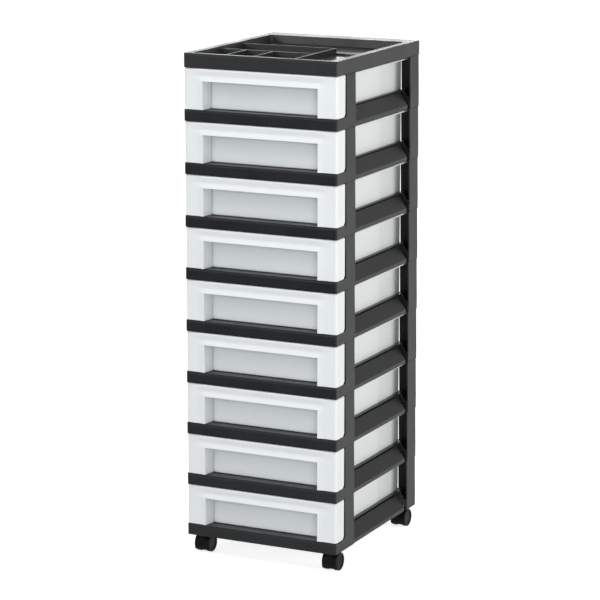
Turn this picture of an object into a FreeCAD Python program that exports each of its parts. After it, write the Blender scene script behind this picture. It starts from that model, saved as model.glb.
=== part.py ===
import FreeCAD, Part
import math
import os

# Plastic drawer tower: nine stacked black frames, a divided tray on top, nine frosted
# drawers with white fronts and four small twin-wheel casters.
# The origin is on the floor under the middle of the tower. The fronts face -Y and +Z is up.

# Driving dimensions of the whole tower, in millimetres
tower_width = 306.0
tower_depth = 362.0
tier_count = 9
tier_pitch = 97.5
tray_height = 26.0
ground_clearance = 39.0

# Values that several mouldings share
wall = 2.5
slide_gap = 0.3
cut_overrun = 2.0
bevel_height = 3.2
bevel_depth = 2.2

# Frame: front bar, open shelf ring and rear wall
bar_height = 21.0
bar_corner_radius = 3.0
shelf_thickness = 2.5
front_shelf_depth = 46.0
shelf_rib_clearance = 6.0
rear_shelf_depth = 42.0
rear_wall_height = 29.5

# Frame: corner posts, which lean inwards towards the top so that the frames step at each joint
post_front_start = 41.0
post_depth = 39.0
post_return = 10.0
post_lean = 1.0
rear_flange_width = 34.3
post_joint_groove = 0.8
gusset_radius = 5.0
spigot_side_gap = 0.5
spigot_thickness = 2.2
spigot_rise = 6.0
spigot_root = 12.0
spigot_end_gap = 5.0

# Frame: side rail, a sloping skirt outside and a drawer guide with its ledge inside
rail_wall = 2.2
skirt_lift = 1.0
skirt_foot_height = 8.0
skirt_slope_width = 15.0
skirt_slope_height = 22.5
skirt_crest_width = 2.0
skirt_rear_gap = 14.0
skirt_corner_radius = 3.0
end_web_thickness = 1.5
end_web_head_inset = 14.0
end_web_head_rise = 4.8
end_web_foot_height = 12.5
trough_width = 3.0
trough_depth = 3.5
guide_rise = 2.5
guide_width = 7.0
ledge_width = 16.0

# Tub of a drawer
tub_side_gap = 1.0
tub_wall = 2.0
tub_rear_gap = 14.0
tub_waist_gap = 100.5
tub_waist = 1.5
tub_rim_drop = 5.0
tub_rim_reach = 16.0
tub_rear_reach = 4.0
tub_rim_thickness = 2.2
tub_corner_radius = 7.0
grip_pad_proud = 3.0
grip_pad_margin = 6.0

# White front of a drawer
front_setback = 2.5
front_side_gap = 1.0
front_foot_gap = 0.5
front_head_gap = 0.8
front_wall = 2.2
front_corner_radius = 5.0
wrap_rear_gap = 5.8
wrap_corner_radius = 6.0
stile_width = 37.0
head_height = 23.2
grip_depth = 25.0
lip_band_height = 11.5
lip_proud = 1.2
clip_reach = 16.0
clip_gap = 0.3
clip_foot = 20.0
clip_height = 38.0

# Tray on top
tray_side_rim = 14.0
tray_front_rim = 10.0
tray_rear_rim = 36.0
tray_rim_thickness = 2.5
tray_well_depth = 15.0
tray_floor_thickness = 2.5
tray_well_radius = 5.0
tray_well_draft = 3.0
divider_thickness = 2.2
divider_taper = 1.0
divider_drop = 2.8
sill_height = 3.5
near_row_depth = 101.0
far_row_depth = 86.0
cell_1_width = 56.0
cell_2_width = 53.0
cell_3_width = 80.0

# Casters
caster_side_inset = 21.0
caster_end_inset = 26.0
caster_trail = 8.0
wheel_diameter = 34.0
wheel_width = 9.0
wheel_gap = 0.5
wheel_dish_diameter = 25.0
wheel_dish_depth = 1.2
wheel_cap_thickness = 2.0
wheel_edge_radius = 1.5
web_width = 11.0
web_radius = 11.0
neck_depth = 18.0
neck_foot_lift = 22.0
hood_diameter = 26.0
hood_gap = 0.6
hood_thickness = 2.4
shroud_gap = 0.6
shroud_thickness = 1.8
shroud_side_inset = 0.8
shroud_lift = 6.0
shroud_rear_reach = 4.0
axle_diameter = 5.0
axle_end_gap = 0.3
running_clearance = 0.05
stem_diameter = 8.0
stem_grip = 15.0
stem_collar_diameter = 14.0
stem_collar_gap = 0.3
pivot_diameter = 6.0
pivot_length = 12.0
pivot_end_gap = 0.5
socket_diameter = 14.0
socket_depth = 17.0

# Places that follow from the values above
half_width = tower_width / 2
half_depth = tower_depth / 2
shelf_underside = bar_height - shelf_thickness
skirt_crest = skirt_foot_height + skirt_slope_height
trough_floor = skirt_crest - trough_depth
guide_outside = skirt_slope_width + skirt_crest_width + trough_width
guide_inside = guide_outside + guide_width
guide_top = skirt_crest + guide_rise
ledge_inside = guide_inside + ledge_width
post_front_end = post_front_start + post_depth
rear_post_start = tower_depth - post_depth
rear_plate_start = tower_depth - wall
tub_side = guide_inside + tub_side_gap
tub_foot = bar_height + slide_gap
tub_rim_top = tier_pitch - tub_rim_drop
tub_rear = tower_depth - tub_rear_gap
tub_front = front_setback + grip_depth
front_foot = bar_height + front_foot_gap
front_top = tier_pitch - front_head_gap
head_foot = front_top - head_height
wrap_rear = post_front_start - wrap_rear_gap
grip_half_width = half_width - front_side_gap - stile_width
tray_base = ground_clearance + tier_count * tier_pitch
wheel_radius = wheel_diameter / 2
wheel_inside = web_width / 2 + wheel_gap
wheel_outside = wheel_inside + wheel_width
wheel_bore_end = wheel_outside - wheel_dish_depth - wheel_cap_thickness
hood_underside = wheel_diameter + hood_gap
hood_top = hood_underside + hood_thickness


def block(side_a, side_b, front, rear, low, high):
    """Box between two places across, two depths behind the tower's front and two heights."""
    corner = FreeCAD.Vector(side_a, front - half_depth, low)
    return Part.makeBox(side_b - side_a, rear - front, high - low, corner)


def face_of(points):
    """Flat face inside a closed outline of points."""
    return Part.Face(Part.makePolygon(points + [points[0]]))


def along_depth(outline, front, rear):
    """Bar with an outline of (distance in from the right side, height), run front to rear."""
    points = [FreeCAD.Vector(half_width - inset, front - half_depth, z) for inset, z in outline]
    return face_of(points).extrude(FreeCAD.Vector(0, rear - front, 0))


def along_width(outline, side_a, side_b):
    """Bar with an outline of (depth behind the front, height), run across the tower."""
    points = [FreeCAD.Vector(side_a, depth - half_depth, z) for depth, z in outline]
    return face_of(points).extrude(FreeCAD.Vector(side_b - side_a, 0, 0))


def level_wire(outline, lean, height):
    """Closed wire of (distance in from the right side, depth) at one height."""
    points = [FreeCAD.Vector(half_width - inset - lean, depth - half_depth, height) for inset, depth in outline]
    return Part.makePolygon(points + [points[0]])


def upright(x, depth, radius, low, high):
    """Vertical cylinder at a place given by its depth behind the front."""
    return Part.makeCylinder(radius, high - low, FreeCAD.Vector(x, depth - half_depth, low))


def across(x_start, x_end, y, z, radius):
    """Cylinder that lies across the tower."""
    start = FreeCAD.Vector(x_start, y, z)
    return Part.makeCylinder(radius, x_end - x_start, start, FreeCAD.Vector(1, 0, 0))


def both_sides(shape):
    """A shape on the right together with its mirror image on the left."""
    return [shape, shape.mirror(FreeCAD.Vector(0, 0, 0), FreeCAD.Vector(1, 0, 0))]


def joined(shapes):
    """One solid from pieces that overlap."""
    return shapes[0].multiFuse(shapes[1:]).removeSplitter()


def moved(shape, x, y, z):
    """Copy of a shape at another place."""
    copy = shape.copy()
    copy.translate(FreeCAD.Vector(x, y, z))
    return copy


def level_box(side_a, side_b, front, rear, height):
    """Closed rectangle at one height, between two places across and two depths."""
    corners = [(side_a, front), (side_b, front), (side_b, rear), (side_a, rear)]
    points = [FreeCAD.Vector(x, depth - half_depth, height) for x, depth in corners]
    return Part.makePolygon(points + [points[0]])


def corner_waste(low, high):
    """Waste outside the rounding of the tower's front right corner, between two heights."""
    square = block(half_width - bar_corner_radius, half_width + cut_overrun, -cut_overrun, bar_corner_radius,
                   low, high)
    keep = upright(half_width - bar_corner_radius, bar_corner_radius, bar_corner_radius,
                   low - cut_overrun, high + cut_overrun)
    return square.cut(keep)


def rounded_corners(shape, radius):
    """A block with its four upright edges rounded."""
    uprights = [edge for edge in shape.Edges if edge.BoundBox.ZLength > edge.BoundBox.XLength + edge.BoundBox.YLength]
    return shape.makeFillet(radius, uprights)


def front_bar():
    """Front bar and the front strip of the shelf, open below, with a bevel along its top."""
    outline = [
        (0, 0), (0, bar_height - bevel_height), (bevel_depth, bar_height),
        (front_shelf_depth, bar_height), (front_shelf_depth, shelf_rib_clearance),
        (front_shelf_depth - wall, shelf_rib_clearance), (front_shelf_depth - wall, shelf_underside),
        (wall, shelf_underside), (wall, 0),
    ]
    return along_width(outline, -half_width, half_width)


def bar_end():
    """Side wall that closes the front bar and runs back into the front post, with its gusset."""
    outline = [
        (0, 0), (0, bar_height - bevel_height), (bevel_depth, bar_height),
        (post_front_start + wall, bar_height), (post_front_start + wall, 0),
    ]
    end = along_width(outline, half_width - wall, half_width)
    gusset_front = post_front_start - gusset_radius
    gusset = block(half_width - wall, half_width, gusset_front, post_front_start + wall,
                   bar_height - wall, bar_height + gusset_radius)
    hollow_centre = FreeCAD.Vector(half_width - wall - cut_overrun, gusset_front - half_depth,
                                   bar_height + gusset_radius)
    hollow = Part.makeCylinder(gusset_radius, wall + cut_overrun + cut_overrun, hollow_centre,
                               FreeCAD.Vector(1, 0, 0))
    return end.fuse(gusset.cut(hollow))


def leaning_post(outline):
    """Post with a level outline: upright beside the bar, then leaning inwards to the top."""
    foot = Part.Face(level_wire(outline, 0, 0)).extrude(FreeCAD.Vector(0, 0, bar_height))
    upper = Part.makeLoft([level_wire(outline, 0, bar_height), level_wire(outline, post_lean, tier_pitch)],
                          True, True)
    return foot.fuse(upper)


def front_post():
    """Channel-shaped post behind the drawer front."""
    outline = [
        (0, post_front_start), (post_return, post_front_start), (post_return, post_front_start + wall),
        (wall, post_front_start + wall), (wall, post_front_end - wall), (post_return, post_front_end - wall),
        (post_return, post_front_end), (0, post_front_end),
    ]
    return leaning_post(outline)


def rear_post():
    """Angle-shaped post with a wide flange across the back."""
    outline = [
        (0, rear_post_start), (wall, rear_post_start), (wall, rear_plate_start),
        (rear_flange_width, rear_plate_start), (rear_flange_width, tower_depth), (0, tower_depth),
    ]
    return leaning_post(outline)


def spigot(front, rear):
    """Tongue inside the top of a post that enters the foot of the post above."""
    inner = half_width - wall - spigot_side_gap
    return block(inner - spigot_thickness, inner, front, rear, tier_pitch - spigot_root, tier_pitch + spigot_rise)


def joint_groove():
    """Waste of the shallow groove outside each post's head, where the next frame stands on it."""
    outer = half_width - post_lean
    return block(outer - post_joint_groove, half_width + cut_overrun, -cut_overrun, tower_depth + cut_overrun,
                 tier_pitch - post_joint_groove, tier_pitch + cut_overrun)


def skirt():
    """Sloping outer panel of the side rail, with the floor of the trough behind its crest."""
    slope = skirt_slope_height / skirt_slope_width
    slope_length = math.hypot(skirt_slope_height, skirt_slope_width)
    drop = rail_wall * slope_length / skirt_slope_width
    trough_underside = trough_floor - rail_wall
    inner_foot = skirt_foot_height - drop + rail_wall * slope
    inner_head = (trough_underside - skirt_foot_height + drop) / slope
    outline = [
        (0, skirt_lift), (0, skirt_foot_height), (skirt_slope_width, skirt_crest),
        (skirt_slope_width + skirt_crest_width, skirt_crest),
        (skirt_slope_width + skirt_crest_width, trough_floor),
        (guide_outside + rail_wall, trough_floor), (guide_outside + rail_wall, trough_underside),
        (inner_head, trough_underside), (rail_wall, inner_foot), (rail_wall, skirt_lift),
    ]
    rear = rear_post_start - skirt_rear_gap
    panel = along_depth(outline, post_front_end - wall, rear)
    reach = skirt_corner_radius
    square = block(half_width - rail_wall - cut_overrun, half_width + cut_overrun, rear - reach, rear + cut_overrun,
                   skirt_lift - cut_overrun, skirt_lift + reach)
    round_start = half_width - rail_wall - cut_overrun - cut_overrun
    round_end = half_width + cut_overrun + cut_overrun
    keep = across(round_start, round_end, rear - reach - half_depth, skirt_lift + reach, reach)
    return panel.cut(square.cut(keep))


def end_web():
    """Thin web behind the skirt that ties the guide to the rear post."""
    outline = [
        (guide_outside + rail_wall, trough_floor - rail_wall), (guide_outside + rail_wall, guide_top),
        (guide_outside, guide_top), (end_web_head_inset, skirt_crest + end_web_head_rise),
        (wall / 2, end_web_foot_height), (wall / 2, skirt_lift),
    ]
    return along_depth(outline, rear_post_start - end_web_thickness, rear_post_start + wall / 2)


def guide():
    """Hollow drawer guide with its flat top, and the ledge that carries the drawer."""
    outline = [
        (guide_outside, trough_floor - rail_wall), (guide_outside, guide_top), (guide_inside, guide_top),
        (guide_inside, bar_height), (ledge_inside, bar_height), (ledge_inside, shelf_underside),
        (guide_inside - rail_wall, shelf_underside), (guide_inside - rail_wall, guide_top - rail_wall),
        (guide_outside + rail_wall, guide_top - rail_wall), (guide_outside + rail_wall, trough_floor - rail_wall),
    ]
    return along_depth(outline, front_shelf_depth - wall, rear_plate_start + wall / 2)


def caster_sockets():
    """Bosses under the corners of the lowest frame, before they are bored."""
    x = half_width - caster_side_inset
    depths = (caster_end_inset, tower_depth - caster_end_inset)
    bosses = []
    for depth in depths:
        bosses = bosses + both_sides(upright(x, depth, socket_diameter / 2, 0, bar_height - wall / 2))
    return bosses


def bored_for_casters(frame):
    """The lowest frame with a blind bore for each caster stem."""
    x = half_width - caster_side_inset
    for depth in (caster_end_inset, tower_depth - caster_end_inset):
        for bore in both_sides(upright(x, depth, stem_diameter / 2, -cut_overrun, socket_depth)):
            frame = frame.cut(bore)
    return frame


def tier_frame(lowest):
    """One frame moulding, with its foot at height zero."""
    pieces = [front_bar()]
    pieces.append(block(-half_width, half_width, rear_plate_start, tower_depth, 0, rear_wall_height))
    pieces.append(block(wall / 2 - half_width, half_width - wall / 2, tower_depth - rear_shelf_depth,
                        rear_plate_start + wall / 2, shelf_underside, bar_height))
    spigot_fronts = (post_front_start + wall + spigot_end_gap, rear_post_start + spigot_end_gap)
    spigot_rears = (post_front_end - wall - spigot_end_gap, rear_plate_start - spigot_end_gap)
    for piece in (bar_end(), front_post(), rear_post(), skirt(), end_web(), guide()):
        pieces = pieces + both_sides(piece)
    for front, rear in zip(spigot_fronts, spigot_rears):
        pieces = pieces + both_sides(spigot(front, rear))
    if lowest:
        pieces = pieces + caster_sockets()
    frame = joined(pieces)
    for waste in both_sides(corner_waste(-cut_overrun, bar_height + cut_overrun)) + both_sides(joint_groove()):
        frame = frame.cut(waste)
    if lowest:
        return bored_for_casters(frame)
    return frame


def grip_pad(inset, front):
    """Pad that stands forward of the tub's front wall inside the grip opening."""
    reach = grip_half_width - grip_pad_margin - inset
    return block(-reach, reach, front, tub_front + tub_wall, tub_foot + inset, tub_rim_top)


def drawer_tub():
    """Frosted tub with a wide rim, a narrower rear part and a pad in its front wall."""
    side = half_width - tub_side
    waist_side = side - tub_waist
    waist = tub_rear - tub_waist_gap
    head = front_top - front_wall
    body = rounded_corners(block(-waist_side, waist_side, tub_front, tub_rear, tub_foot, tub_rim_top),
                           tub_corner_radius)
    belly = rounded_corners(block(-side, side, tub_front, waist, tub_foot, tub_rim_top), tub_waist)
    lip = block(-side, side, tub_front, tub_front + tub_wall, tub_foot, head)
    rim = block(-side - tub_rim_reach, side + tub_rim_reach, tub_front + clip_reach + wall,
                tub_rear + tub_rear_reach, tub_rim_top - tub_rim_thickness, tub_rim_top)
    rim = rounded_corners(rim, tub_rear_reach + tub_wall)
    outer = joined([body, belly, lip, rim, grip_pad(0, tub_front - grip_pad_proud)])
    floor = tub_foot + tub_wall
    top = head + cut_overrun
    well = block(tub_wall - waist_side, waist_side - tub_wall, tub_front + tub_wall, tub_rear - tub_wall, floor, top)
    well = rounded_corners(well, tub_corner_radius - tub_wall)
    belly_well = block(tub_wall - side, side - tub_wall, tub_front + tub_wall, waist - tub_wall, floor, top)
    pad_well = grip_pad(tub_wall, tub_front - grip_pad_proud + tub_wall)
    return outer.cut(well).cut(belly_well).cut(pad_well).removeSplitter()


def front_plan(inset, low, high):
    """Solid plan of the drawer front, with rounded front corners."""
    side = half_width - front_side_gap - inset
    solid = block(-side, side, front_setback + inset, wrap_rear + inset, low, high)
    front_y = front_setback + inset - half_depth
    corners = [
        edge for edge in solid.Edges
        if edge.BoundBox.ZLength > edge.BoundBox.XLength and edge.BoundBox.YMax < front_y + wall
        and edge.BoundBox.YLength < edge.BoundBox.ZLength
    ]
    return solid.makeFillet(front_corner_radius - inset, corners)


def wrap_corner_cut():
    """Waste outside the rounded lower rear corner of a side wrap."""
    outer = half_width - front_side_gap
    start = outer - front_wall - cut_overrun
    end = outer + cut_overrun
    square = block(start, end, wrap_rear - wrap_corner_radius, wrap_rear + cut_overrun,
                   front_foot - cut_overrun, front_foot + wrap_corner_radius)
    keep = across(start - cut_overrun, end + cut_overrun, wrap_rear - wrap_corner_radius - half_depth,
                  front_foot + wrap_corner_radius, wrap_corner_radius)
    return square.cut(keep)


def lip_wire(spread, depth):
    """Outline of the grip opening at one depth, made larger to both sides and above by a spread."""
    side = grip_half_width + spread
    y = depth - half_depth
    corners = [(-side, front_foot), (side, front_foot), (side, head_foot + spread), (-side, head_foot + spread)]
    points = [FreeCAD.Vector(x, y, z) for x, z in corners]
    return Part.makePolygon(points + [points[0]])


def grip_lip():
    """Band round the grip opening that flares forward for the fingers."""
    root = front_setback + front_wall / 2
    skirt_wire = lip_wire(lip_band_height, front_setback)
    flare = Part.makeLoft([skirt_wire, lip_wire(front_wall / 2, front_setback - lip_proud)], True, True)
    return Part.Face(lip_wire(lip_band_height, root)).extrude(FreeCAD.Vector(0, front_setback - root, 0)).fuse(flare)


def clip():
    """Cheek beside the grip opening and the hook that snaps round the tub's front corner."""
    cheek = block(grip_half_width, grip_half_width + front_wall, front_setback + front_wall / 2, tub_front,
                  front_foot, front_top - front_wall / 2)
    hook_inside = half_width - tub_side + clip_gap
    hook_foot = front_foot + clip_foot
    web = block(grip_half_width + front_wall / 2, hook_inside + front_wall, tub_front - front_wall, tub_front,
                hook_foot, hook_foot + clip_height)
    hook = block(hook_inside, hook_inside + front_wall, tub_front - front_wall, tub_front + clip_reach,
                 hook_foot, hook_foot + clip_height)
    return joined([cheek, web, hook])


def drawer_front():
    """White front: head rail, two stiles that wrap round the sides, top web, cheeks and clips."""
    shell = front_plan(0, front_foot, front_top)
    core = front_plan(front_wall, front_foot - cut_overrun, front_top + cut_overrun)
    back_cut = block(-half_width, half_width, wrap_rear, wrap_rear + half_depth, 0, tier_pitch)
    ring = shell.cut(core).cut(back_cut)
    opening = block(-grip_half_width, grip_half_width, -cut_overrun, tub_front, front_foot - cut_overrun, head_foot)
    web_zone = block(-half_width, half_width, front_setback, tub_front + tub_wall, front_top - front_wall, front_top)
    web = front_plan(0, front_foot, front_top).common(web_zone)
    front = joined([ring.fuse(grip_lip()).cut(opening), web] + both_sides(clip()))
    for waste in both_sides(wrap_corner_cut()):
        front = front.cut(waste)
    return front


def tray_well_outline(spread, height):
    """Rounded outline of the tray's well at one height. Its walls lean outwards towards the rim."""
    drawn = spread - (tray_height - height) * tray_well_draft / tray_well_depth
    side = half_width - tray_side_rim + drawn
    slab = block(-side, side, tray_front_rim - drawn, tower_depth - tray_rear_rim + drawn,
                 height - cut_overrun, height + cut_overrun)
    return rounded_corners(slab, tray_well_radius + drawn).slice(FreeCAD.Vector(0, 0, 1), height)[0]


def tray_well(spread, low, high):
    """Solid that fills the tray's well between two heights, made larger all round by a spread."""
    return Part.makeLoft([tray_well_outline(spread, low), tray_well_outline(spread, high)], True, True)


def tray_wall(side_a, side_b, front, rear, top):
    """Wall on the tray's floor that is thicker at its foot."""
    floor = tray_height - tray_well_depth - tray_floor_thickness / 2
    foot = level_box(side_a - divider_taper, side_b + divider_taper, front - divider_taper, rear + divider_taper, floor)
    return Part.makeLoft([foot, level_box(side_a, side_b, front, rear, top)], True, True)


def tray_dividers():
    """Walls that part the well: two rows on the left with three near cells, and a low sill."""
    top = tray_height - divider_drop
    well_left = tray_side_rim - half_width
    left = well_left - wall
    right = half_width - tray_side_rim + wall
    near_wall = tray_front_rim + near_row_depth
    near_middle = near_wall + divider_thickness / 2
    far_wall = near_wall + divider_thickness + far_row_depth
    far_rear = far_wall + divider_thickness
    cell_1 = well_left + cell_1_width
    cell_2 = cell_1 + divider_thickness + cell_2_width
    cell_3 = cell_2 + divider_thickness + cell_3_width
    long_middle = cell_3 + divider_thickness / 2
    front = tray_front_rim - wall
    sill_top = tray_height - tray_well_depth + sill_height
    return [
        tray_wall(left, long_middle, near_wall, near_wall + divider_thickness, top),
        tray_wall(left, long_middle, far_wall, far_rear, top),
        tray_wall(cell_1, cell_1 + divider_thickness, front, near_middle, top),
        tray_wall(cell_2, cell_2 + divider_thickness, front, near_middle, top),
        tray_wall(cell_3, cell_3 + divider_thickness, front, far_rear, top),
        tray_wall(long_middle, right, far_wall, far_rear, sill_top),
    ]


def top_tray():
    """Tray that closes the tower: bevelled front, flat rim, divided well, open underside."""
    outline = [
        (0, 0), (0, tray_height - bevel_height), (bevel_depth, tray_height),
        (tower_depth, tray_height), (tower_depth, 0),
    ]
    outer = along_width(outline, -half_width, half_width)
    well_floor = tray_height - tray_well_depth
    basin = tray_well(wall, well_floor - tray_floor_thickness, tray_height)
    underside = block(wall - half_width, half_width - wall, wall, rear_plate_start, -cut_overrun,
                      tray_height - tray_rim_thickness)
    shell = outer.cut(underside.cut(basin))
    shell = shell.cut(tray_well(0, well_floor, tray_height + cut_overrun))
    for waste in both_sides(corner_waste(-cut_overrun, tray_height + cut_overrun)):
        shell = shell.cut(waste)
    within = tray_well(wall / 2, well_floor - tray_floor_thickness / 2, tray_height)
    return joined([shell] + [tray_wall_piece.common(within) for tray_wall_piece in tray_dividers()])


def caster_stem():
    """Metal stem: grip in the frame, collar, and the pivot that the housing turns on."""
    grip = Part.makeCylinder(stem_diameter / 2, stem_grip, FreeCAD.Vector(0, 0, ground_clearance))
    collar_low = hood_top + stem_collar_gap
    collar = Part.makeCylinder(stem_collar_diameter / 2, ground_clearance - collar_low,
                               FreeCAD.Vector(0, 0, collar_low))
    pivot = Part.makeCylinder(pivot_diameter / 2, pivot_length + ground_clearance - collar_low,
                              FreeCAD.Vector(0, 0, collar_low - pivot_length))
    return joined([grip, collar, pivot])


def wheel_shroud():
    """Shell that covers the front and top of both wheels, on the web between them."""
    outer = wheel_radius + shroud_gap + shroud_thickness
    side = wheel_outside - shroud_side_inset
    shell = across(-side, side, caster_trail, wheel_radius, outer)
    for space in both_sides(across(web_width / 2, wheel_outside + cut_overrun, caster_trail, wheel_radius,
                                   wheel_radius + shroud_gap)):
        shell = shell.cut(space)
    front = caster_trail - outer - cut_overrun
    rear = caster_trail + shroud_rear_reach
    keep = Part.makeBox(side + side + cut_overrun, rear - front, hood_top - shroud_lift,
                        FreeCAD.Vector(-side - cut_overrun / 2, front, shroud_lift))
    return shell.common(keep)


def caster_housing():
    """Plastic body between the wheels, with its shroud over them and the pivot bore."""
    disc = across(-web_width / 2, web_width / 2, caster_trail, wheel_radius, web_radius)
    neck = Part.makeBox(web_width, neck_depth, hood_top - neck_foot_lift,
                        FreeCAD.Vector(-web_width / 2, -neck_depth / 2, neck_foot_lift))
    hood = Part.makeCylinder(hood_diameter / 2, hood_thickness, FreeCAD.Vector(0, 0, hood_underside))
    body = joined([disc, neck, hood, wheel_shroud()])
    bore_foot = hood_top + stem_collar_gap - pivot_length - pivot_end_gap
    bore = Part.makeCylinder(pivot_diameter / 2 + running_clearance, hood_top - bore_foot + cut_overrun,
                             FreeCAD.Vector(0, 0, bore_foot))
    axle_bore = across(-web_width, web_width, caster_trail, wheel_radius, axle_diameter / 2)
    return body.cut(bore).cut(axle_bore)


def caster_axle():
    """Plain steel axle that ends inside the wheels."""
    end = wheel_bore_end - axle_end_gap
    return across(-end, end, caster_trail, wheel_radius, axle_diameter / 2)


def caster_wheel():
    """Right-hand wheel: rounded tread, shallow dished cap outside and a blind running bore."""
    tyre = across(wheel_inside, wheel_outside, caster_trail, wheel_radius, wheel_radius)
    rims = [edge for edge in tyre.Edges if edge.BoundBox.XLength < wheel_gap]
    tyre = tyre.makeFillet(wheel_edge_radius, rims)
    dish = across(wheel_outside - wheel_dish_depth, wheel_outside + cut_overrun, caster_trail, wheel_radius,
                  wheel_dish_diameter / 2)
    bore = across(wheel_inside - cut_overrun, wheel_bore_end, caster_trail, wheel_radius,
                  axle_diameter / 2 + running_clearance)
    return tyre.cut(dish).cut(bore)


def write(node, shape):
    """One file for one named piece."""
    shape.exportStep("parts/" + node + ".step")


def write_tiers():
    """Frames and drawers, counted from the floor up."""
    lowest = tier_frame(True)
    upper = tier_frame(False)
    tub = drawer_tub()
    front = drawer_front()
    for tier in range(tier_count):
        height = ground_clearance + tier * tier_pitch
        number = str(tier + 1)
        frame = upper if tier else lowest
        write("tier_frame_" + number, moved(frame, 0, 0, height))
        write("drawer_tub_" + number, moved(tub, 0, 0, height))
        write("drawer_front_" + number, moved(front, 0, 0, height))


def write_casters():
    """Four casters: 1 front left, 2 front right, 3 rear left, 4 rear right."""
    x = half_width - caster_side_inset
    y = half_depth - caster_end_inset
    wheels = both_sides(caster_wheel())
    places = [(-x, -y), (x, -y), (-x, y), (x, y)]
    for index, (place_x, place_y) in enumerate(places):
        number = str(index + 1)
        write("caster_stem_" + number, moved(caster_stem(), place_x, place_y, 0))
        write("caster_housing_" + number, moved(caster_housing(), place_x, place_y, 0))
        write("caster_axle_" + number, moved(caster_axle(), place_x, place_y, 0))
        write("caster_wheel_right_" + number, moved(wheels[0], place_x, place_y, 0))
        write("caster_wheel_left_" + number, moved(wheels[1], place_x, place_y, 0))


os.makedirs("parts", exist_ok=True)
write_tiers()
write("top_tray", moved(top_tray(), 0, 0, tray_base))
write_casters()
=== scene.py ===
import math

import bmesh
import bpy
import numpy as np
from mathutils import Matrix, Vector


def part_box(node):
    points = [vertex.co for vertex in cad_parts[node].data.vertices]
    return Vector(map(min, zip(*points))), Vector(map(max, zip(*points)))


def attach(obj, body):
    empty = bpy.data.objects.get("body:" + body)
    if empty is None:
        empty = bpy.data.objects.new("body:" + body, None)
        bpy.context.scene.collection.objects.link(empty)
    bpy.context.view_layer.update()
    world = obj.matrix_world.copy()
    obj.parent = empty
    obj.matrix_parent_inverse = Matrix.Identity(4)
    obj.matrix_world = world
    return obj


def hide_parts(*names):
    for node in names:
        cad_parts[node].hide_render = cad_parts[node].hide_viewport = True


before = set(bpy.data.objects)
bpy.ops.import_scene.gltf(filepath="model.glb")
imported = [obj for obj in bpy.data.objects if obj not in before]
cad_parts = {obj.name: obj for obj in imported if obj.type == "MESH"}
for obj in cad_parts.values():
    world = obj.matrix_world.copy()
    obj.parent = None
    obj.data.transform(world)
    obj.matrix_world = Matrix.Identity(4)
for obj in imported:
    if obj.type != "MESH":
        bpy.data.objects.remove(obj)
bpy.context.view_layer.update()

# Studio: a plain pale floor under an even, pale surround, with broad soft lamps above, in front and on the
# right, and a narrow one behind on the left that skims the tray's rims. The camera stands where the
# photograph was taken from, a little above the tower's top and right of its front. Lengths are in metres.
AZIMUTH, ELEVATION, DISTANCE = math.radians(25.92), math.radians(12.20), 5.016
AIM = Vector((-0.0068, -0.0010, 0.4657))
FOCAL_PIXELS, PICTURE_PIXELS = 2676, 600
SENSOR_MILLIMETRES, VIEW_END = 36.0, 60.0
SURROUND_LIGHT, SURROUND_IN_GLOSS, SURROUND_SEEN = 0.47, 0.50, 1.0
FLOOR_HALF, FLOOR_PALE, FLOOR_LIFT = 9.0, 0.62, 0.79
FLOOR_IN_GLOSS = ((-4.0, 0.14), (-1.9, 0.10), (-0.5, 0.62), (0.1, 0.86), (2.0, 0.95), (4.0, 1.0))
NEUTRAL = (1.0, 1.0, 1.0)


def shade(tree, kind, sockets=(), **options):
    """Adds one node: options are its own settings, and sockets maps its inputs to values or to outputs."""
    made = tree.nodes.new(kind)
    for name, value in options.items():
        setattr(made, name, value)
    for socket, value in dict(sockets).items():
        if isinstance(value, bpy.types.NodeSocket):
            tree.links.new(value, made.inputs[socket])
        else:
            made.inputs[socket].default_value = value
    return made


def ray_kinds(tree):
    """Two outputs: one for rays from the camera, and one for rays that a surface mirrors or lets through."""
    kinds = shade(tree, "ShaderNodeLightPath").outputs
    either = {0: kinds["Is Glossy Ray"], 1: kinds["Is Transmission Ray"]}
    return kinds["Is Camera Ray"], shade(tree, "ShaderNodeMath", either, operation="MAXIMUM").outputs[0]


def blended(tree, share, first, second):
    """The first shader where the share is zero, and the second where it is one."""
    return shade(tree, "ShaderNodeMixShader", {0: share, 1: first, 2: second}).outputs[0]


def even_light(tree, strength):
    """A white surround of one strength."""
    return shade(tree, "ShaderNodeBackground", {"Color": (*NEUTRAL, 1), "Strength": strength}).outputs[0]


def soft_lamp(name, place, width, height, watts, tint):
    """A rectangular lamp at a place, turned to face the middle of the tower."""
    data = bpy.data.lights.new(name, "AREA")
    data.shape, data.size, data.size_y = "RECTANGLE", width, height
    data.energy, data.color = watts, tint
    lamp = bpy.data.objects.new(name, data)
    lamp.location = place
    lamp.rotation_euler = (AIM - Vector(place)).to_track_quat("-Z", "Y").to_euler()
    bpy.context.scene.collection.objects.link(lamp)


def glow_in_gloss(tree):
    """What mirror rays find on the floor: dark in front of the tower, as in a studio's unlit room, and
    brighter towards the back. The level runs straight from one place along Y to the next."""
    place = shade(tree, "ShaderNodeTexCoord").outputs["Object"]
    along = shade(tree, "ShaderNodeSeparateXYZ", {0: place}).outputs["Y"]
    front, back = FLOOR_IN_GLOSS[0][0], FLOOR_IN_GLOSS[-1][0]
    share = shade(tree, "ShaderNodeMapRange", {0: along, 1: front, 2: back, 3: 0.0, 4: 1.0}).outputs[0]
    ramp = shade(tree, "ShaderNodeValToRGB", {0: share})
    stops = ramp.color_ramp.elements
    for metres, _ in FLOOR_IN_GLOSS[1:-1]:
        stops.new((metres - front) / (back - front))
    for stop, (_, level) in zip(stops, FLOOR_IN_GLOSS):
        stop.color = (level, level, level, 1)
    return shade(tree, "ShaderNodeEmission", {"Color": ramp.outputs[0], "Strength": 1.0}).outputs[0]


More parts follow.
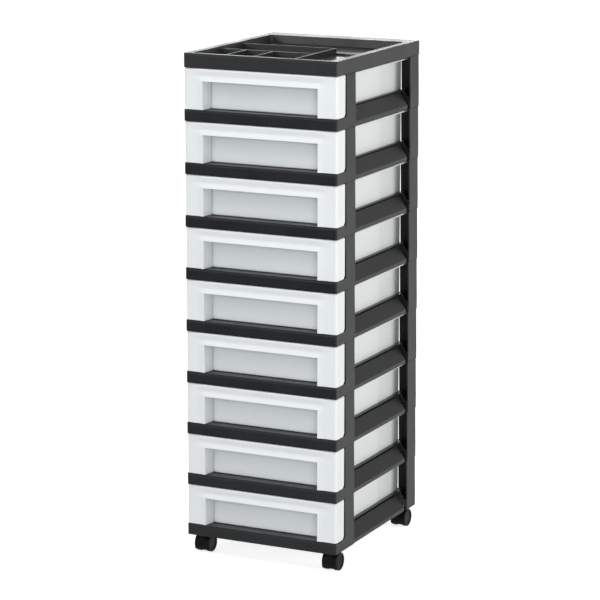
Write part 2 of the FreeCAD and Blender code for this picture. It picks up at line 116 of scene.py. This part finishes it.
def floor_light(tree):
    """The floor: a matt pale paint that keeps the tower's shadow, with a glow added for the camera alone
    that lifts it to white. Mirror rays find the floor's own levels for them instead."""
    from_camera, from_gloss = ray_kinds(tree)
    matt = shade(tree, "ShaderNodeBsdfDiffuse", {"Color": (FLOOR_PALE, FLOOR_PALE, FLOOR_PALE, 1)})
    lift = shade(tree, "ShaderNodeMath", {0: from_camera, 1: FLOOR_LIFT}, operation="MULTIPLY")
    glow = shade(tree, "ShaderNodeEmission", {"Color": (*NEUTRAL, 1), "Strength": lift.outputs[0]})
    lit = shade(tree, "ShaderNodeAddShader", {0: matt.outputs[0], 1: glow.outputs[0]})
    return blended(tree, from_gloss, lit.outputs[0], glow_in_gloss(tree))


surround = bpy.data.worlds.new("pale_surround")
surround.use_nodes = True
bpy.context.scene.world = surround
sky = surround.node_tree
sky.nodes.clear()
sky_from_camera, sky_from_gloss = ray_kinds(sky)
unseen = blended(sky, sky_from_gloss, even_light(sky, SURROUND_LIGHT), even_light(sky, SURROUND_IN_GLOSS))
sky_light = blended(sky, sky_from_camera, unseen, even_light(sky, SURROUND_SEEN))
shade(sky, "ShaderNodeOutputWorld", {"Surface": sky_light})

soft_lamp("lamp_high", (0.5, -2.1, 3.9), 2.0, 1.6, 52, (0.985, 0.995, 1.0))
soft_lamp("lamp_front", (2.9, -4.4, 1.1), 2.6, 2.2, 77, (0.955, 0.985, 1.0))
soft_lamp("lamp_left", (-2.1, -4.4, 2.0), 1.6, 0.9, 30, (0.96, 0.985, 1.0))
soft_lamp("lamp_right", (3.9, 0.6, 1.6), 2.4, 2.0, 67, (1.0, 0.978, 0.920))
soft_lamp("lamp_back", (-2.0, 3.95, 1.60), 2.2, 0.4, 24, NEUTRAL)

ground = bpy.data.meshes.new("floor")
ground.from_pydata([(-FLOOR_HALF, -FLOOR_HALF, 0), (FLOOR_HALF, -FLOOR_HALF, 0),
                    (FLOOR_HALF, FLOOR_HALF, 0), (-FLOOR_HALF, FLOOR_HALF, 0)], [], [(0, 1, 2, 3)])
floor = bpy.data.objects.new("floor", ground)
bpy.context.scene.collection.objects.link(floor)
floor_paint = bpy.data.materials.new("floor_pale")
floor_paint.use_nodes = True
floor_paint.node_tree.nodes.clear()
floor_surface = floor_light(floor_paint.node_tree)
shade(floor_paint.node_tree, "ShaderNodeOutputMaterial", {"Surface": floor_surface})
ground.materials.append(floor_paint)

lens = bpy.data.cameras.new("camera")
lens.sensor_width = SENSOR_MILLIMETRES
lens.lens = FOCAL_PIXELS / PICTURE_PIXELS * SENSOR_MILLIMETRES
lens.clip_end = VIEW_END
away = Vector((
    math.cos(ELEVATION) * math.sin(AZIMUTH),
    -math.cos(ELEVATION) * math.cos(AZIMUTH),
    math.sin(ELEVATION),
))
sideways = Vector((0, 0, 1)).cross(away).normalized()
turned = Matrix((sideways, away.cross(sideways), away)).transposed().to_4x4()
camera = bpy.data.objects.new("camera", lens)
camera.matrix_world = Matrix.Translation(AIM + away * DISTANCE) @ turned
bpy.context.scene.collection.objects.link(camera)
bpy.context.scene.camera = camera
bpy.context.scene.view_settings.view_transform = "Standard"

# Tier frames and top tray: black polypropylene mouldings with a satin, finely sparked skin. Nine frames
# stack by spigots in their posts, and the tray closes the top one.
TIERS = range(1, 10)
BLACK, BLACK_WORN = (0.0100, 0.0110, 0.0127), (0.0200, 0.0205, 0.0215)
TRAY_BLACK, TRAY_WORN = (0.0170, 0.0180, 0.0190), (0.0300, 0.0310, 0.0320)
CLOUDS_PER_METRE, CLOUD_DETAIL, CLOUD_ROUGHNESS = 16.0, 4.0, 0.6
WAVES_PER_METRE, WAVE_DETAIL, WAVE_STRENGTH, WAVE_HEIGHT = 22.0, 1.0, 0.5, 0.0002
SPARK_DETAIL, SPARK_STRENGTH, SPARK_FLATNESS = 2.0, 0.3, 12
EDGE_SAMPLES = 4
CLOUD_SPAN, CLOUD_TONE, CLOUD_POLISH_SPAN = (0.35, 0.65), (0.0, 0.22), (0.3, 0.7)
EDGE_TURN, EDGE_WEAR = (0.99, 0.75), (0.0, 0.8)
PLASTIC_IOR = 1.45


def ranged(tree, value, before, after):
    """A value carried from one range to another in a straight line, and held at the ends."""
    sockets = {0: value, 1: before[0], 2: before[1], 3: after[0], 4: after[1]}
    return shade(tree, "ShaderNodeMapRange", sockets).outputs[0]


def noise(tree, place, scale, **sockets):
    """The level of a noise pattern with so many features to a metre."""
    sockets = {"Vector": place, "Scale": scale, **sockets}
    return shade(tree, "ShaderNodeTexNoise", sockets).outputs["Fac"]


def raised(tree, height, normal, strength, distance):
    """A normal tilted by the slope of a height pattern."""
    sockets = {"Strength": strength, "Distance": distance, "Height": height, "Normal": normal}
    return shade(tree, "ShaderNodeBump", sockets).outputs[0]


def satin(name, colour, worn, rough, grain, edge, gloss):
    """Moulded plastic: cloudy tone and polish, a finely sparked skin whose grains are grain metres wide, slow
    waves left by cooling, and edges rounded by edge metres and rubbed paler where the rounding turns."""
    made = bpy.data.materials.new(name)
    made.use_nodes = True
    tree = made.node_tree
    skin = tree.nodes["Principled BSDF"]
    place = shade(tree, "ShaderNodeTexCoord").outputs["Object"]
    clouds = noise(tree, place, CLOUDS_PER_METRE, Detail=CLOUD_DETAIL, Roughness=CLOUD_ROUGHNESS)
    sparks = noise(tree, place, 1 / grain, Detail=SPARK_DETAIL)
    waves = noise(tree, place, WAVES_PER_METRE, Detail=WAVE_DETAIL)
    rounding = shade(tree, "ShaderNodeBevel", {"Radius": edge}, samples=EDGE_SAMPLES).outputs[0]
    flat = shade(tree, "ShaderNodeNewGeometry").outputs["Normal"]
    level = shade(tree, "ShaderNodeVectorMath", {0: rounding, 1: flat}, operation="DOT_PRODUCT")
    rubbed = ranged(tree, level.outputs["Value"], EDGE_TURN, EDGE_WEAR)
    cloudy = ranged(tree, clouds, CLOUD_SPAN, CLOUD_TONE)
    wear = shade(tree, "ShaderNodeMath", {0: rubbed, 1: cloudy}, operation="ADD", use_clamp=True)
    tones = {0: wear.outputs[0], 6: (*colour, 1), 7: (*worn, 1)}
    paint = shade(tree, "ShaderNodeMix", tones, data_type="RGBA")
    polish = ranged(tree, clouds, CLOUD_POLISH_SPAN, rough)
    slow = raised(tree, waves, rounding, WAVE_STRENGTH, WAVE_HEIGHT)
    fine = raised(tree, sparks, slow, SPARK_STRENGTH, grain / SPARK_FLATNESS)
    tree.links.new(paint.outputs[2], skin.inputs["Base Color"])
    tree.links.new(polish, skin.inputs["Roughness"])
    tree.links.new(fine, skin.inputs["Normal"])
    skin.inputs["IOR"].default_value = PLASTIC_IOR
    skin.inputs["Specular IOR Level"].default_value = gloss
    return made


def dress(node, material):
    """Gives a carried-over solid its material."""
    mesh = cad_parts[node].data
    mesh.materials.clear()
    mesh.materials.append(material)


black_plastic = satin("black_polypropylene", BLACK, BLACK_WORN,
                      rough=(0.30, 0.40), grain=0.0006, edge=0.0012, gloss=0.42)
tray_plastic = satin("tray_polypropylene", TRAY_BLACK, TRAY_WORN,
                     rough=(0.32, 0.42), grain=0.0006, edge=0.0012, gloss=0.44)
for tier in TIERS:
    dress(f"tier_frame_{tier}", black_plastic)
dress("top_tray", tray_plastic)

# Drawer fronts: white polypropylene mouldings, a thin shell bent round both front corners with a wide finger
# opening below its head rail. A band round the opening flares forward, a web closes the shell at the top, and
# cheeks beside the opening carry two hooks that snap round the frosted tub. Sizes are in millimetres.
MILLIMETRE = 0.001
SHELL_SIDE, SHELL_FACE, SHELL_REAR, SHELL_CORNER = 152.9, -178.8, -145.8, 4.5
SHELL_FOOT, SHELL_TOP, SHELL_WALL, SHELL_BROW = 21.5, 96.7, 2.2, 2.4
OPENING_SIDE, OPENING_TOP = 115.0, 73.5
LIP_REACH, LIP_EDGE, LIP_PROUD, LIP_MARGIN = 11.5, 1.1, 1.9, 7.0
LIP_STEPS = (LIP_EDGE, 4.0, 8.0)
COVE_FOOT, COVE_DEPTH = 84.0, 0.7
BROW_FOOT, BROW_PROUD, BROW_END, BROW_FADE = 92.8, 2.0, 120.0, 22.0
WRAP_POINTS, WRAP_HEEL = 6, 6.0
TURN_POINTS, FACE_POINTS, STILE_POINTS, COVE_POINTS, BROW_POINTS = 9, 9, 8, 6, 5
WEB_REAR, WEB_DROP, WEB_POINTS = -151.5, 0.03, 5
CHEEK_FRONT, CHEEK_REAR, CHEEK_DRAFT, CHEEK_TOP = -177.4, -153.5, 4.0, 95.6
HOOK_INNER, HOOK_OUTER, HOOK_REAR, HOOK_FOOT, HOOK_TOP = 112.6, 127.5, -137.5, 41.5, 79.5
SHELL_ROUNDING, FITTING_ROUNDING = 0.45, 0.3
ROUNDING_STEPS, SHARP_ANGLE = 2, math.radians(40)
WHITE, WHITE_WORN = (0.775, 0.800, 0.808), (0.82, 0.84, 0.845)


def mesh_piece(name, points, faces, lift):
    """An object at the origin whose mesh holds the points, given in millimetres and raised by lift metres."""
    mesh = bpy.data.meshes.new(name)
    places = np.asarray(points, float) * MILLIMETRE + (0.0, 0.0, lift)
    mesh.from_pydata(places.tolist(), [], [list(map(int, face)) for face in faces])
    mesh.validate()
    mesh.shade_smooth()
    piece = bpy.data.objects.new(name, mesh)
    bpy.context.scene.collection.objects.link(piece)
    return piece


def grid_faces(rows, columns, around=False):
    """Quads of a grid of rows times columns points; around joins the last column to the first."""
    last = columns if around else columns - 1
    row, column = np.meshgrid(np.arange(rows - 1), np.arange(last), indexing="ij")
    near, far = row * columns, (row + 1) * columns
    after = (column + 1) % columns
    return np.stack([near + column, near + after, far + after, far + column], axis=-1).reshape(-1, 4)


def plate(outline, low, high):
    """Flat solid: a closed outline carried straight up from low to high, with flat ends."""
    outline = np.asarray(outline, float)
    count = len(outline)
    ends = [np.insert(outline, 2, level, axis=1) for level in (low, high)]
    faces = grid_faces(2, count, True).tolist() + [list(range(count)), list(range(count, 2 * count))]
    return np.concatenate(ends), faces


def block(side, inner, outer, front, rear, low, high):
    """Upright block on one side of the middle, 1 or -1, between inner and outer distances from it."""
    outline = [(side * inner, front), (side * outer, front), (side * outer, rear), (side * inner, rear)]
    return plate(outline, low, high)


def combined(solids):
    """Several solids as one set of points and faces."""
    starts = np.cumsum([0] + [len(points) for points, _ in solids[:-1]])
    faces = [[corner + int(start) for corner in face]
             for start, (_, some) in zip(starts, solids) for face in some]
    return np.concatenate([points for points, _ in solids]), faces


def outward(piece):
    """Turns every closed shell of a mesh so that its faces point outwards."""
    work = bmesh.new()
    work.from_mesh(piece.data)
    bmesh.ops.recalc_face_normals(work, faces=work.faces)
    work.to_mesh(piece.data)
    work.free()


def soften(piece, width):
    """Rounds the sharp edges of a moulding by a width in millimetres."""
    edges = piece.modifiers.new("rounded_edges", "BEVEL")
    edges.width, edges.segments = width * MILLIMETRE, ROUNDING_STEPS
    edges.limit_method, edges.angle_limit = "ANGLE", SHARP_ANGLE
    edges.harden_normals = True


def shell_line():
    """The shell seen from above, from one wrap's rear end to the other's: the places across and along, and
    the way out of the skin at each. A straight wrap runs forward, the corner turns by x = side - r + r sin a
    and y = face + r - r cos a, and the flat face runs to the middle. From there the line is mirrored."""
    wrap = np.linspace(SHELL_REAR, SHELL_FACE + SHELL_CORNER, WRAP_POINTS + 1)[:-1]
    turn = np.linspace(math.pi / 2, 0, TURN_POINTS)
    band = OPENING_SIDE + np.array([LIP_REACH + LIP_MARGIN, LIP_REACH, *LIP_STEPS[::-1], 0])
    flat = np.concatenate([band, np.linspace(OPENING_SIDE, 0, FACE_POINTS)[1:]])
    across = np.concatenate([
        np.full(WRAP_POINTS, SHELL_SIDE), SHELL_SIDE - SHELL_CORNER * (1 - np.sin(turn)), flat])
    along = np.concatenate([
        wrap, SHELL_FACE + SHELL_CORNER * (1 - np.cos(turn)), np.full(len(flat), SHELL_FACE)])
    out_x = np.concatenate([np.ones(WRAP_POINTS), np.sin(turn), np.zeros(len(flat))])
    out_y = np.concatenate([np.zeros(WRAP_POINTS), -np.cos(turn), -np.ones(len(flat))])
    across, out_x = (np.concatenate([half, -half[-2::-1]]) for half in (across, out_x))
    along, out_y = (np.concatenate([half, half[-2::-1]]) for half in (along, out_y))
    return across, along, out_x, out_y


def shell_sheet():
    """Outer skin of a drawer front: the shell's line on a grid of heights, moved out or in. Upwards, the head
    sinks into a cove and leans forward from it to the brow, both of which fade out over the stiles, and at
    the top the skin draws in by b - sqrt(b^2 - (z - top + b)^2). Beside and above the opening it comes
    forward in a ramp that falls to nothing at the band's edge. The foot of each wrap rises in an arc to its
    rear end, by h - sqrt(h^2 - (h - d)^2) at a distance d from it. Faces over the opening are left out."""
    across, along, out_x, out_y = shell_line()
    brow = SHELL_TOP - SHELL_BROW + SHELL_BROW * np.sin(np.linspace(0, math.pi / 2, BROW_POINTS))
    height = np.concatenate([
        np.linspace(SHELL_FOOT, OPENING_TOP, STILE_POINTS), OPENING_TOP + np.array(LIP_STEPS),
        np.linspace(COVE_FOOT, BROW_FOOT, COVE_POINTS), brow])
    on_face = out_x == 0
    lean = np.clip((height - COVE_FOOT) / (BROW_FOOT - COVE_FOOT), 0, 1)
    cove = (BROW_PROUD + COVE_DEPTH) * lean - COVE_DEPTH
    fade = np.clip((BROW_END + BROW_FADE - np.abs(across)) / BROW_FADE, 0, 1) * on_face
    lip_top = OPENING_TOP + LIP_EDGE
    share = fade[:, None] * np.clip((height - lip_top) / (COVE_FOOT - lip_top), 0, 1)[None, :]
    rise = np.clip(height - SHELL_TOP + SHELL_BROW, 0, SHELL_BROW)
    inset = SHELL_BROW - np.sqrt(SHELL_BROW ** 2 - rise ** 2)
    from_opening = np.hypot(np.clip(np.abs(across)[:, None] - OPENING_SIDE, 0, None),
                            np.clip(height[None, :] - OPENING_TOP, 0, None))
    ramp = np.clip((LIP_REACH - from_opening) / (LIP_REACH - LIP_EDGE), 0, 1)
    flare = LIP_PROUD * ramp * on_face[:, None]
    out = flare * (1 - share) + cove[None, :] * share - inset[None, :]
    heel = np.clip(SHELL_REAR - along, 0, WRAP_HEEL)[:, None]
    lifted = WRAP_HEEL - np.sqrt(WRAP_HEEL ** 2 - (WRAP_HEEL - heel) ** 2)
    foot = np.where((np.abs(across) == SHELL_SIDE)[:, None], SHELL_FOOT + lifted, SHELL_FOOT)
    level = foot + (height[None, :] - SHELL_FOOT) * (SHELL_TOP - foot) / (SHELL_TOP - SHELL_FOOT)
    moved = across[:, None] + out_x[:, None] * out, along[:, None] + out_y[:, None] * out
    points = np.stack([*moved, level], axis=-1).reshape(-1, 3)
    faces = grid_faces(len(across), len(height))
    middle = points[faces].mean(axis=1)
    over_opening = (np.abs(middle[:, 0]) < OPENING_SIDE) & (middle[:, 2] < OPENING_TOP)
    return points, faces[~over_opening]


def without_strays(points, faces):
    """Points and faces without the points that no face uses."""
    used, places = np.unique(faces, return_inverse=True)
    return points[used], places.reshape(faces.shape)


def front_fittings():
    """The flat walls inside a drawer front: the top web, cheeks that lean towards the middle at their rear,
    and hooks with the webs that carry them. The top web's corners turn as the shell's do, on a smaller
    radius."""
    turn = np.linspace(0, math.pi / 2, WEB_POINTS)
    inner = SHELL_CORNER - SHELL_BROW
    corner = np.stack([SHELL_SIDE - SHELL_CORNER + inner * np.sin(turn),
                       SHELL_FACE + SHELL_CORNER - inner * np.cos(turn)], axis=1)
    right = np.concatenate([corner, [(SHELL_SIDE - SHELL_BROW, WEB_REAR)]])
    web = np.concatenate([right, right[::-1] * (-1, 1)])
    solids = [plate(web, SHELL_TOP - SHELL_WALL, SHELL_TOP - WEB_DROP)]
    cheek_inner, carrier_front = OPENING_SIDE - CHEEK_DRAFT, CHEEK_REAR - SHELL_WALL
    for side in (1, -1):
        cheek = [(side * OPENING_SIDE, CHEEK_FRONT), (side * (OPENING_SIDE + SHELL_WALL), CHEEK_FRONT),
                 (side * (cheek_inner + SHELL_WALL), CHEEK_REAR), (side * cheek_inner, CHEEK_REAR)]
        solids += [
            plate(cheek, SHELL_FOOT, CHEEK_TOP),
            block(side, HOOK_INNER, HOOK_OUTER, carrier_front, CHEEK_REAR, HOOK_FOOT, HOOK_TOP),
            block(side, HOOK_OUTER - SHELL_WALL, HOOK_OUTER, carrier_front, HOOK_REAR, HOOK_FOOT, HOOK_TOP),
        ]
    return combined(solids)


white_plastic = satin("white_polypropylene", WHITE, WHITE_WORN,
                      rough=(0.34, 0.44), grain=0.0006, edge=0.0006, gloss=0.42)
shell_points, shell_faces = without_strays(*shell_sheet())
fitting_points, fitting_faces = front_fittings()
for tier in TIERS:
    tier_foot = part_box(f"tier_frame_{tier}")[0].z
    shell = mesh_piece(f"front_shell_{tier}", shell_points, shell_faces, tier_foot)
    thickness = shell.modifiers.new("wall", "SOLIDIFY")
    thickness.thickness, thickness.offset, thickness.use_even_offset = SHELL_WALL * MILLIMETRE, -1, True
    soften(shell, SHELL_ROUNDING)
    fittings = mesh_piece(f"front_fittings_{tier}", fitting_points, fitting_faces, tier_foot)
    outward(fittings)
    soften(fittings, FITTING_ROUNDING)
    for piece in (shell, fittings):
        piece.data.materials.append(white_plastic)
        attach(piece, f"drawer_{tier}")
    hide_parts(f"drawer_front_{tier}")

# Drawer tubs: thin frosted polypropylene trays, milky enough to hide what lies in them. The side walls step
# in towards the rear, a flat rim runs round the sides and the back, and a low pad fills the finger opening of
# the white front, whose hooks hold the tub. Sizes are in millimetres.
TUB_FRONT, TUB_PAD, TUB_STEP, TUB_REAR = -153.5, -156.5, 66.5, 165.5
TUB_SIDE, TUB_WAIST_SIDE, TUB_PAD_SIDE = 125.0, 123.5, 109.0
TUB_FOOT, TUB_TOP, TUB_FRONT_TOP, TUB_WALL, TUB_HEEL = 21.3, 92.5, 94.4, 2.0, 3.0
FRONT_RADIUS, PAD_RADIUS, PAD_ROOT_RADIUS = 2.5, 1.2, 0.8
STEP_RADIUS, REAR_RADIUS, LEAST_RADIUS = 0.7, 1.8, 0.15
FRONT_MARGIN = 1.0
RIM_SIDE, RIM_FRONT, RIM_REAR, RIM_THICKNESS = 141.0, -135.0, 170.0, 2.2
RIM_REAR_RADIUS, RIM_FRONT_RADIUS, RIM_INNER_RADIUS, RIM_ROOT_RADIUS = 6.0, 3.0, 1.4, 0.5
RIM_BITE, RIM_DROP = 0.4, 0.05
ARC_STEPS, HEEL_POINTS, TUB_ROUNDING = 4, 5, 0.4
FROST, FROST_WORN = (0.825, 0.855, 0.870), (0.84, 0.865, 0.875)
# Below: the frost's see-through share, then the painted shade taken off its colour behind the step and on the
# front wall beside the pad, then the painted light added at the front wall's foot, which turns to painted
# shade at its top.
FROST_CLEAR, REAR_PAINTED_SHADE, PAD_ROOT_PAINTED_SHADE = 0.10, 0.05, 0.06
PAD_FOOT, PAD_ZONE, FOOT_PAINTED_LIGHT, TOP_PAINTED_SHADE = 28.0, 3.0, 0.12, -0.15


def rounded(corners, radii):
    """Closed outline whose corners give way to arcs. An arc's middle lies on the corner's bisector, at the
    radius over the sine of half the inner angle, and its turn is divided into equal steps."""
    here = np.asarray(corners, float)
    back, ahead = np.roll(here, 1, axis=0) - here, np.roll(here, -1, axis=0) - here
    back /= np.linalg.norm(back, axis=1)[:, None]
    ahead /= np.linalg.norm(ahead, axis=1)[:, None]
    bisector = (back + ahead) / np.linalg.norm(back + ahead, axis=1)[:, None]
    half = np.arccos(np.sum(back * bisector, axis=1))
    middle = here + bisector * (radii / np.sin(half))[:, None]
    arm = here + back * (radii / np.tan(half))[:, None] - middle
    sense = np.sign(back[:, 1] * ahead[:, 0] - back[:, 0] * ahead[:, 1])
    angle = (sense * (math.pi - 2 * half))[:, None] * np.linspace(0, 1, ARC_STEPS + 1)[None, :]
    x = middle[:, :1] + arm[:, :1] * np.cos(angle) - arm[:, 1:] * np.sin(angle)
    y = middle[:, 1:] + arm[:, :1] * np.sin(angle) + arm[:, 1:] * np.cos(angle)
    return np.stack([x, y], axis=-1).reshape(-1, 2)


def drawn_in(corners, radii, inset):
    """A square-cornered outline, listed anticlockwise, moved inwards by an inset, with its arcs kept
    parallel. A corner moves by the inset to the left of both edges that meet there, an outer arc's radius
    shrinks by it and an inner arc's grows."""
    here = np.asarray(corners, float)
    before, after = here - np.roll(here, 1, axis=0), np.roll(here, -1, axis=0) - here
    before /= np.linalg.norm(before, axis=1)[:, None]
    after /= np.linalg.norm(after, axis=1)[:, None]
    both = before + after
    left = np.stack([-both[:, 1], both[:, 0]], axis=1)
    hollow = before[:, 0] * after[:, 1] - before[:, 1] * after[:, 0] < 0
    radius = np.clip(np.where(hollow, radii + inset, radii - inset), LEAST_RADIUS, None)
    return rounded(here + inset * left, radius)


def tub_shell():
    """A tub as one closed skin of outlines: out along the underside, round the heel, up the wall, over the
    top edge, down the inner wall, round the inner heel and in along the floor. The heels are quarter circles
    and the top edge is half a circle, with inset r - r cos a and rise r sin a. The front wall stands a little
    higher than the others."""
    corners = [
        (-TUB_SIDE, TUB_FRONT), (-TUB_PAD_SIDE, TUB_FRONT), (-TUB_PAD_SIDE, TUB_PAD),
        (TUB_PAD_SIDE, TUB_PAD), (TUB_PAD_SIDE, TUB_FRONT), (TUB_SIDE, TUB_FRONT),
        (TUB_SIDE, TUB_STEP), (TUB_WAIST_SIDE, TUB_STEP), (TUB_WAIST_SIDE, TUB_REAR),
        (-TUB_WAIST_SIDE, TUB_REAR), (-TUB_WAIST_SIDE, TUB_STEP), (-TUB_SIDE, TUB_STEP)]
    radii = np.array([
        FRONT_RADIUS, PAD_ROOT_RADIUS, PAD_RADIUS,
        PAD_RADIUS, PAD_ROOT_RADIUS, FRONT_RADIUS,
        STEP_RADIUS, STEP_RADIUS, REAR_RADIUS,
        REAR_RADIUS, STEP_RADIUS, STEP_RADIUS])
    heel = np.linspace(0, math.pi / 2, HEEL_POINTS)
    edge = np.linspace(0, math.pi, HEEL_POINTS)
    crest, inner_heel = TUB_WALL / 2, TUB_HEEL - TUB_WALL / 2
    outer = zip(TUB_HEEL * (1 - np.sin(heel)), TUB_FOOT + TUB_HEEL * (1 - np.cos(heel)))
    over = zip(crest - crest * np.cos(edge), crest * np.sin(edge))
    inner = zip(TUB_WALL + inner_heel * (1 - np.cos(heel)),
                TUB_FOOT + TUB_WALL + inner_heel * (1 - np.sin(heel)))
    rings = [np.insert(drawn_in(corners, radii, inset), 2, level, axis=1) for inset, level in outer]
    for inset, rise in over:
        ring = drawn_in(corners, radii, inset)
        in_front = ring[:, 1] < TUB_FRONT + TUB_WALL + FRONT_MARGIN
        level = np.where(in_front, TUB_FRONT_TOP, TUB_TOP) - crest + rise
        rings.append(np.concatenate([ring, level[:, None]], axis=1))
    rings += [np.insert(drawn_in(corners, radii, inset), 2, level, axis=1) for inset, level in inner]
    count = len(rings[0])
    faces = grid_faces(len(rings), count, True).tolist()
    faces += [list(range(count)), list(range(count * (len(rings) - 1), count * len(rings)))]
    return np.concatenate(rings), faces


def tub_rim():
    """The flat rim: a band round both sides and the back, with rounded outer corners at the rear. It bites a
    little into the tub's walls and stops just short of their top."""
    wall, rear = TUB_WAIST_SIDE - RIM_BITE, TUB_REAR - RIM_BITE
    corners = [(-RIM_SIDE, RIM_FRONT), (-wall, RIM_FRONT), (-wall, rear), (wall, rear),
               (wall, RIM_FRONT), (RIM_SIDE, RIM_FRONT), (RIM_SIDE, RIM_REAR), (-RIM_SIDE, RIM_REAR)]
    radii = np.array([
        RIM_FRONT_RADIUS, RIM_ROOT_RADIUS, RIM_INNER_RADIUS, RIM_INNER_RADIUS,
        RIM_ROOT_RADIUS, RIM_FRONT_RADIUS, RIM_REAR_RADIUS, RIM_REAR_RADIUS])
    return plate(rounded(corners, radii), TUB_TOP - RIM_THICKNESS, TUB_TOP - RIM_DROP)


def frosted(name, lowest, pitch):
    """The tubs' milky plastic, which lets a little light through. Its colour carries painted shade: darker
    behind the step and on the front wall beside the pad.
    On the whole front wall it also carries painted light at the foot that turns to painted shade at the top,
    by the height above the tier's own foot.
    The first tier's foot is at lowest metres, and the others follow pitch metres apart."""
    made = satin(name, FROST, FROST_WORN, rough=(0.46, 0.56), grain=0.0005, edge=0.0004, gloss=0.40)
    tree = made.node_tree
    skin = tree.nodes["Principled BSDF"]
    point = shade(tree, "ShaderNodeTexCoord").outputs["Object"]
    place = shade(tree, "ShaderNodeSeparateXYZ", {0: point}).outputs

    def reckon(operation, *values):
        """The result of one step of arithmetic on values or outputs."""
        return shade(tree, "ShaderNodeMath", dict(enumerate(values)), operation=operation).outputs[0]

    # Masks for where painted shade and painted light darken or lighten the frost's colour.
    behind_step = reckon("GREATER_THAN", place["Y"], TUB_STEP * MILLIMETRE)
    front_wall = reckon("LESS_THAN", place["Y"], (TUB_FRONT + PAD_ZONE) * MILLIMETRE)
    off_pad = reckon("GREATER_THAN", reckon("ABSOLUTE", place["X"]), TUB_PAD_SIDE * MILLIMETRE)
    in_tier = reckon("FLOORED_MODULO", reckon("SUBTRACT", place["Z"], lowest), pitch)
    heights = PAD_FOOT * MILLIMETRE, OPENING_TOP * MILLIMETRE
    # Painted light at the foot of the front wall, turning to painted shade towards its top, by height within
    # the tier.
    painted_light_by_height = ranged(tree, in_tier, heights, (FOOT_PAINTED_LIGHT, TOP_PAINTED_SHADE))
    # Painted shade behind the step.
    painted_light_and_shade = reckon("MULTIPLY_ADD", behind_step, -REAR_PAINTED_SHADE, 1.0)
    # Painted shade on the front wall beside the pad.
    painted_light_and_shade = reckon("MULTIPLY_ADD", reckon("MULTIPLY", off_pad, front_wall), -PAD_ROOT_PAINTED_SHADE, painted_light_and_shade)
    painted_light_and_shade = reckon("MULTIPLY_ADD", front_wall, painted_light_by_height, painted_light_and_shade)
    milky = skin.inputs["Base Color"].links[0].from_socket
    # The frost's colour scaled by the painted light and shade.
    frost_with_painted_light = shade(tree, "ShaderNodeVectorMath", {0: milky, "Scale": painted_light_and_shade}, operation="SCALE")
    tree.links.new(frost_with_painted_light.outputs[0], skin.inputs["Base Color"])
    skin.inputs["Transmission Weight"].default_value = FROST_CLEAR
    return made


first_foot, second_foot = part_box("tier_frame_1")[0].z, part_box("tier_frame_2")[0].z
frosted_plastic = frosted("frosted_polypropylene_with_painted_light", first_foot, second_foot - first_foot)
tub_points, tub_faces = combined([tub_shell(), tub_rim()])
for tier in TIERS:
    tub = mesh_piece(f"frosted_tub_{tier}", tub_points, tub_faces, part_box(f"tier_frame_{tier}")[0].z)
    outward(tub)
    soften(tub, TUB_ROUNDING)
    tub.data.materials.append(frosted_plastic)
    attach(tub, f"drawer_{tier}")
    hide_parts(f"drawer_tub_{tier}")

# Casters: twin wheels of dark polyamide on a steel axle, under a black housing whose shroud covers their
# front and top. A steel stem holds each housing in the lowest frame and lets it swivel.
CASTERS = range(1, 5)
STEEL, STEEL_WORN = (0.5, 0.5, 0.52), (0.6, 0.6, 0.62)
WHEEL_DARK, WHEEL_WORN = (0.0045, 0.0045, 0.0047), (0.012, 0.012, 0.0125)
HOUSING_DARK, HOUSING_WORN = (0.0020, 0.0020, 0.0021), (0.007, 0.007, 0.0072)

steel = satin("plated_steel", STEEL, STEEL_WORN, rough=(0.25, 0.40), grain=0.0003, edge=0.0003, gloss=0.5)
steel.node_tree.nodes["Principled BSDF"].inputs["Metallic"].default_value = 1.0
wheel_plastic = satin("wheel_polyamide", WHEEL_DARK, WHEEL_WORN,
                      rough=(0.40, 0.52), grain=0.0004, edge=0.0005, gloss=0.20)
caster_plastic = satin("caster_polyamide", HOUSING_DARK, HOUSING_WORN,
                       rough=(0.46, 0.56), grain=0.0004, edge=0.0005, gloss=0.15)
for number in CASTERS:
    dress(f"caster_stem_{number}", steel)
    dress(f"caster_axle_{number}", steel)
    dress(f"caster_housing_{number}", caster_plastic)
    dress(f"caster_wheel_right_{number}", wheel_plastic)
    dress(f"caster_wheel_left_{number}", wheel_plastic)
